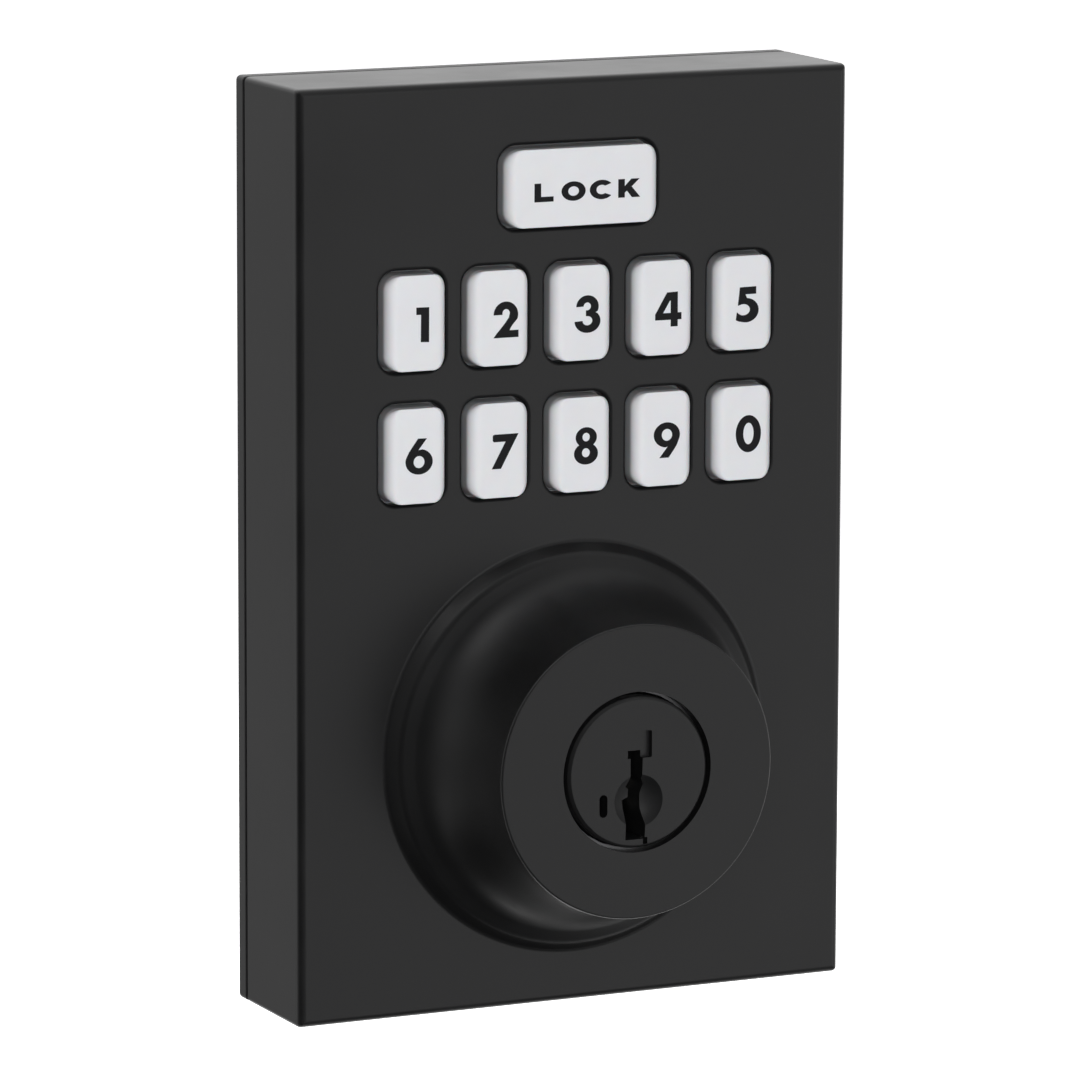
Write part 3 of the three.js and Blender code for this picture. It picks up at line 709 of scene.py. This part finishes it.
PLUG_LOW, PLUG_HIGH = node_box("key_plug")
PLUG_RADIUS = PLUG_HIGH.x
PLUG_FRONT = PLUG_LOW.y
KEYWAY = [
    (-1.1, 2.8), (-1.1, -0.9), (-1.5, -1.9), (-1.0, -2.3), (-1.0, -3.4), (-2.0, -3.7),
    (-1.7, -5.9), (-1.8, -8.9), (1.0, -8.9), (1.1, -6.9), (0.75, -5.0), (0.75, -3.0),
    (1.05, -1.7), (0.6, -0.9), (0.7, 2.8),
]


def key_plug():
    """The plug with its dimple, square recess, tool slot and warded keyway."""
    front, rear, radius = PLUG_FRONT, PLUG_HIGH.y, PLUG_RADIUS
    chamfer, soft = 0.35, 0.12
    shoulder, tail_radius, tail_bore, bore_end = -10, 7, 6.2, -12.5
    profile = [(0, front), (radius - chamfer - soft, front), (radius - chamfer, front + 0.05),
               (radius - 0.05, front + chamfer), (radius, front + chamfer + soft),
               (radius, shoulder), (tail_radius, shoulder), (tail_radius, rear),
               (tail_bore, rear), (tail_bore, bore_end), (0, bore_end)]
    plug = turned("plug_face", profile, steps=128)
    ball_radius, ball_centre = 5.7, (0.1, front - 4.5, -3.8)
    bm = bmesh.new()
    bmesh.ops.create_uvsphere(bm, u_segments=96, v_segments=64, radius=ball_radius)
    bm.transform(Matrix.Translation(ball_centre))
    dimple = finish_mesh("dimple", bm)
    recess = [(p.x, p.z) for p in Outline(3.6, 3.6, 0.25, 0.2, 3.7, 4).points(0, 0)]
    slot = [(p.x, p.z) for p in Outline(1.15, 3.0, 0.55, -5.0, -4.1, 8).points(0, 0)]
    notch = [(0.75, -8.7), (0.75, -9.6), (1.4, -9.6), (1.4, -8.7)]
    before = front - 1  # the cutting tools start clear of the plug's face
    tools = [
        dimple,
        prism("recess", recess, before, front + 0.8),
        prism("tool_slot", slot, before, front + 8),
        prism("notch", notch, before, front + 1.2),
        prism("keyway", KEYWAY, before, -14.5),
    ]
    return soften(combine(plug, "DIFFERENCE", tools), 0.05, 2, 30)


stand_for(key_plug(), "key_plug")

# ---------------------------------------------------------------- back plate, gasket and outlet

BACK_FRONT, BACK_REAR = BACK_LOW.y, BACK_HIGH.y
BACK_EDGE = 0.3
BLADE_HOLE = 5
POST_X = 19
POST_HOLE = 3.8
SCREW_HOLE = 1.5
COUNTERBORE = 2.8
PLATE_SCREW_SEAT = -1.75
SOFT = 0.15  # the small rounding round holes
GASKET_OUTLINE = Outline(77.4, 121.4, 1.2, 0, CENTRE_Z, 6)
GASKET_WIDTH = 2.2
GASKET_FRONT = -1.5
GROOVE_FLOOR = -1.8
GROOVE_SPARE = 0.15
OUTLET_Z = 20
OUTLET = (20, 10, 3)  # width, height and corner
SCREW_PLACES = [middle_of(f"plate_screw_{i}") for i in (1, 2, 3, 4)]


def back_plate():
    """A moulded plate with a groove for the gasket and holes for the blade, posts and screws."""
    edge = rounding(BACK_EDGE, BACK_FRONT, 1, 4) + rounding(BACK_EDGE, BACK_REAR, -1, 4)
    through = rounding(SOFT, BACK_FRONT, 1, 3, False) + rounding(SOFT, BACK_REAR, -1, 3, False)
    wide = COUNTERBORE - SCREW_HOLE
    stepped = rounding(SOFT, BACK_FRONT, 1, 3, False) + [
        (0, PLATE_SCREW_SEAT), (wide, PLATE_SCREW_SEAT), (wide, BACK_REAR - SOFT),
        (wide + SOFT, BACK_REAR),
    ]
    outlet = Outline(*OUTLET, 0, OUTLET_Z, 6)
    holes = [(circle(BLADE_HOLE, steps=14), through), (outlet, through)]
    holes += [(circle(POST_HOLE, side * POST_X, 0, 12), through) for side in (-1, 1)]
    holes += [(circle(SCREW_HOLE, x, z, 8), stepped) for x, z in SCREW_PLACES]
    bm = bmesh.new()
    plate = Outline(BACK_HIGH.x * 2, BACK_HIGH.z - BACK_LOW.z, CORNER, 0, CENTRE_Z, 6)
    rim = add_rings(bm, [plate.points(*step) for step in edge])
    walls = [add_rings(bm, [shape.points(*step) for step in steps]) for shape, steps in holes]
    spare, inner = GROOVE_SPARE, -GASKET_WIDTH - GROOVE_SPARE
    groove = [(spare + 0.1, BACK_REAR), (spare, BACK_REAR - 0.1), (spare, GROOVE_FLOOR),
              (inner, GROOVE_FLOOR), (inner, BACK_REAR - 0.1), (inner - 0.1, BACK_REAR)]
    trench = add_rings(bm, [GASKET_OUTLINE.points(*step) for step in groove])
    fill(bm, rim[0], *[wall[0] for wall in walls])
    fill(bm, rim[-1], trench[0])
    fill(bm, trench[-1], *[wall[-1] for wall in walls])
    return finish_mesh("rear_plate", bm, 35)


def loop_of_rings(name, rings, smooth_angle=35):
    """A ring-shaped solid: the rings follow its section round and the last meets the first."""
    bm = bmesh.new()
    add_rings(bm, [*rings, rings[0]])
    return finish_mesh(name, bm, smooth_angle)


def gasket():
    """A rubber strip with a rounded face towards the door and two sealing ridges."""
    rear = 0.0
    section = [(0, GASKET_FRONT), (0, -0.35), (-0.06, -0.14), (-0.22, -0.03), (-0.4, rear),
               (-0.6, -0.05), (-0.85, -0.22), (-1.1, -0.28), (-1.35, -0.22), (-1.6, -0.05),
               (-1.8, rear), (-1.98, -0.03), (-2.14, -0.14), (-2.2, -0.35), (-2.2, GASKET_FRONT)]
    return loop_of_rings("door_seal", [GASKET_OUTLINE.points(*step) for step in section], 60)


def grommet():
    """A rubber ring in the cable's outlet with a lip inside and a soft rim outside."""
    lip = Outline(22, 12, 3.5, 0, OUTLET_Z, 8)
    sleeve = Outline(19.4, 9.4, 2.7, 0, OUTLET_Z, 8)
    hole = Outline(15, 5.6, 1.6, 0, OUTLET_Z, 8)
    lip_rear = BACK_FRONT - 0.3
    lip_front = lip_rear - 0.8
    rings = [hole.points(0, lip_front + 0.2), hole.points(0.2, lip_front)]
    rings += [lip.points(-0.2, lip_front), lip.points(0, lip_front + 0.2)]
    rings += [lip.points(0, lip_rear), sleeve.points(0, lip_rear)]
    rings += [sleeve.points(0, BACK_REAR - 0.3), sleeve.points(-0.1, BACK_REAR - 0.09)]
    rings += [sleeve.points(-0.3, BACK_REAR), hole.points(0.4, BACK_REAR)]
    rings += [hole.points(0.12, BACK_REAR - 0.1), hole.points(0, BACK_REAR - 0.4)]
    return loop_of_rings("outlet_ring", rings, 50)


stand_for(back_plate(), "back_plate")
stand_for(gasket(), "door_gasket")
stand_for(grommet(), "cable_grommet")

# ---------------------------------------------------------------- posts, blade and screws


def threaded(radius, depth, start, length, pitch, rearwards):
    """Profile points of a thread from start along Y: crests at radius and roots depth away."""
    turns = int(length / pitch)
    points = []
    for i in range(turns):
        y = start + rearwards * pitch * i
        points += [(radius, y), (radius + depth, y + rearwards * pitch / 2)]
    return points + [(radius, start + rearwards * pitch * turns)]


def mounting_post(name, x):
    low, high = node_box(name)
    rear, radius, bore = high.y, high.x - x, 1.7
    shoulder = -6.4
    profile = [(0, low.y), (1.8, low.y), (2, low.y + 0.2), (2, shoulder), (radius - 0.15, shoulder),
               (radius, shoulder + 0.15), (radius, rear - 0.5), (radius - 0.15, rear - 0.15),
               (radius - 0.5, rear), (bore + 0.5, rear)]
    profile += threaded(bore, 0.22, rear - 0.5, 13, 0.7, -1) + [(0, rear - 14.8)]
    return turned(name + "_turned", profile, x=x, steps=40, smooth_angle=30)


def torque_blade():
    """A D-shaped bar with its ends chamfered."""
    low, high = node_box("torque_blade")
    radius, flat, chamfer = high.x, low.z, 0.45

    def section(inset, y):
        r, f = radius - inset, flat + inset
        start = math.asin(f / r)
        count = 28
        angles = [start + (math.pi - 2 * start) * i / count for i in range(count + 1)]
        return [(r * math.cos(a), y, r * math.sin(a)) for a in angles]

    bm = bmesh.new()
    steps = [(chamfer, low.y), (0, low.y + chamfer), (0, high.y - chamfer), (chamfer, high.y)]
    rings = add_rings(bm, [section(*step) for step in steps])
    bm.faces.new(rings[0])
    bm.faces.new(rings[-1][::-1])
    return soften(finish_mesh("drive_bar", bm), 0.12, 2, 40)


def pan_screw(name, head_height):
    """A self-tapping screw with a domed head and a cross recess, its head towards the rear."""
    low, high = node_box(name)
    x, z = middle_of(name)
    head, tip, rear = high.x - x, low.y, high.y
    seat = rear - head_height
    shaft = 1.1 if head > 2.2 else 1.0
    profile = [(0, tip), (shaft * 0.45, tip + 0.1), (shaft * 0.75, tip + 0.8)]
    length = seat - 0.5 - (tip + 1)
    profile += threaded(shaft * 0.78, shaft * 0.22, tip + 1, length, 0.62, 1)
    profile += [(shaft * 0.78, seat), (head - 0.08, seat), (head, seat + 0.12)]
    profile += [(head, rear - 0.42), (head * 0.96, rear - 0.25), (head * 0.85, rear - 0.1),
                (head * 0.66, rear - 0.02), (head * 0.4, rear), (0, rear)]
    screw = turned(name + "_turned", profile, x=x, z=z, steps=28, smooth_angle=30)
    arm, slit, floor = head * 0.55, 0.24, rear - 0.75
    bars = []
    for label, half_x, half_z in (("level", arm, slit), ("upright", slit, arm)):
        points = [(x - half_x, z - half_z), (x + half_x, z - half_z),
                  (x + half_x, z + half_z), (x - half_x, z + half_z)]
        bars.append(prism(label, points, floor, rear + 1))
    return soften(combine(screw, "DIFFERENCE", bars), 0.03, 1, 50)


for side, name in ((-1, "mounting_post_left"), (1, "mounting_post_right")):
    stand_for(mounting_post(name, side * POST_X), name)
stand_for(torque_blade(), "torque_blade")
for i in (1, 2, 3, 4):
    stand_for(pan_screw(f"plate_screw_{i}", 1.0), f"plate_screw_{i}")
    stand_for(pan_screw(f"board_screw_{i}", 1.3), f"board_screw_{i}")
for i in (1, 2):
    stand_for(pan_screw(f"carrier_screw_{i}", 1.5), f"carrier_screw_{i}")

# ---------------------------------------------------------------- camera, light and floor

FRONT_CENTRE = Vector((0, FRONT, CENTRE_Z)) * MM
CAMERA_AZIMUTH = -25.33  # degrees
CAMERA_ELEVATION = 9.83
CAMERA_ROLL = math.radians(0.19)
CAMERA_DISTANCE = 0.9748  # metres, like the two shifts of its aim off the front's centre
CAMERA_LENS = 245.7
AIM_RIGHT = -0.00465
AIM_UP = 0.00045


def direction_of(azimuth, elevation):
    """The unit vector at these angles, in degrees, from straight in front of the lock."""
    a, e = math.radians(azimuth), math.radians(elevation)
    return Vector((math.sin(a) * math.cos(e), -math.cos(a) * math.cos(e), math.sin(e)))


def add_camera():
    back = direction_of(CAMERA_AZIMUTH, CAMERA_ELEVATION)
    turn = back.to_track_quat("Z", "Y") @ Matrix.Rotation(CAMERA_ROLL, 4, "Z").to_quaternion()
    aim = FRONT_CENTRE + turn @ Vector((AIM_RIGHT, AIM_UP, 0))
    data = bpy.data.cameras.new("camera")
    data.lens = CAMERA_LENS
    data.clip_start = 0.01
    data.clip_end = 50
    camera = bpy.data.objects.new("camera", data)
    camera.rotation_mode = "QUATERNION"
    camera.rotation_quaternion = turn
    camera.location = aim + back * CAMERA_DISTANCE
    bpy.context.scene.collection.objects.link(camera)
    bpy.context.scene.camera = camera


# The studio's lamps as soft patches: azimuth and elevation in degrees from straight in front of
# the lock, how tight each patch is, and how bright. Most of the light stands beside and behind
# the lock, and the place where a camera would stand is dark.
STUDIO = {
    "front_high": (10, 15, 40, 1.4),
    "front_right": (45, -5, 20, 1.3),
    "front_low": (30, -25, 40, 0.9),
    "right": (100, -5, 20, 0.9),
    "right_low": (95, -35, 20, 0.6),
    "right_rear": (135, -10, 10, 1.5),
    "right_rear_low": (120, -50, 15, 1.0),
    "above_front": (50, 50, 8, 0.5),
    "above_left": (-95, 60, 25, 1.8),
    "above_rear": (-175, 60, 8, 1.5),
    "rear": (160, 45, 8, 2.1),
    "rear_low": (165, -35, 18, 2.8),
    "rear_floor": (175, -65, 40, 2.3),
    "left": (-125, 15, 8, 1.3),
    "left_low": (-118, -33, 30, 2.0),
    "left_rear_low": (-165, -52, 25, 2.6),
}
STUDIO_BASE = 0.02  # how bright the studio is everywhere
SOFTBOX_DISTANCE = 1.2  # metres from the middle of the lock's front
FLOOR_Z = -260
FLOOR_SIZE = 20000


def add_world():
    """The studio for reflections only; the softboxes light the matt surfaces."""
    world = bpy.data.worlds.new("studio")
    bpy.context.scene.world = world
    world.use_nodes = True
    world.cycles_visibility.diffuse = False
    tree = world.node_tree
    looking = tree.nodes.new("ShaderNodeTexCoord").outputs["Generated"]

    def maths(operation, first, second):
        node = tree.nodes.new("ShaderNodeMath")
        node.operation = operation
        for value, socket in ((first, node.inputs[0]), (second, node.inputs[1])):
            if isinstance(value, (int, float)):
                socket.default_value = value
            else:
                tree.links.new(value, socket)
        return node.outputs["Value"]

    total = STUDIO_BASE
    for azimuth, elevation, tightness, brightness in STUDIO.values():
        facing = tree.nodes.new("ShaderNodeVectorMath")
        facing.operation = "DOT_PRODUCT"
        facing.inputs[1].default_value = direction_of(azimuth, elevation)
        tree.links.new(looking, facing.inputs[0])
        fall = maths("MULTIPLY", maths("SUBTRACT", facing.outputs["Value"], 1.0), tightness)
        glow = maths("MULTIPLY", maths("POWER", math.e, fall), brightness)
        total = maths("ADD", glow, total)
    studio = tree.nodes["Background"]
    studio.inputs["Color"].default_value = (1, 1, 1, 1)
    tree.links.new(total, studio.inputs["Strength"])
    seen = tree.nodes.new("ShaderNodeBackground")
    seen.inputs["Color"].default_value = (1, 1, 1, 1)
    camera_ray = tree.nodes.new("ShaderNodeLightPath").outputs["Is Camera Ray"]
    mix = tree.nodes.new("ShaderNodeMixShader")
    tree.links.new(camera_ray, mix.inputs["Fac"])
    tree.links.new(studio.outputs["Background"], mix.inputs[1])
    tree.links.new(seen.outputs["Background"], mix.inputs[2])
    tree.links.new(mix.outputs["Shader"], tree.nodes["World Output"].inputs["Surface"])


def add_softbox(name, azimuth, elevation, power, size):
    """A square softbox, its size in metres, which shows in no reflection."""
    light = bpy.data.lights.new(name, "AREA")
    light.energy = power
    light.size = size
    lamp = bpy.data.objects.new(name, light)
    back = direction_of(azimuth, elevation)
    lamp.location = FRONT_CENTRE + back * SOFTBOX_DISTANCE
    lamp.rotation_mode = "QUATERNION"
    lamp.rotation_quaternion = back.to_track_quat("Z", "Y")
    lamp.visible_glossy = False
    bpy.context.scene.collection.objects.link(lamp)


def add_floor():
    bm = bmesh.new()
    bmesh.ops.create_grid(bm, x_segments=1, y_segments=1, size=FLOOR_SIZE)
    bm.transform(Matrix.Translation((0, 0, FLOOR_Z)))
    floor = finish_mesh("floor", bm)
    nodes = Nodes("floor_white")
    tint = nodes.mixed(nodes.noise(3), (0.93, 0.93, 0.93), (0.96, 0.96, 0.96))
    nodes.link(tint, nodes.shader.inputs["Base Color"])
    nodes.shader.inputs["Roughness"].default_value = 0.9
    nodes.shader.inputs["Emission Color"].default_value = (1, 1, 1, 1)
    nodes.shader.inputs["Emission Strength"].default_value = 1.0
    floor.data.materials.append(nodes.material)
    floor.visible_glossy = False
    floor.visible_diffuse = False


add_camera()
add_world()
add_softbox("front_softbox", -12, 2, 21, 1.2)
add_softbox("rear_softbox_left", -150, 25, 12, 1.0)
add_softbox("rear_softbox_right", 130, 25, 10, 1.0)
add_floor()
bpy.context.scene.view_settings.view_transform = "Standard"
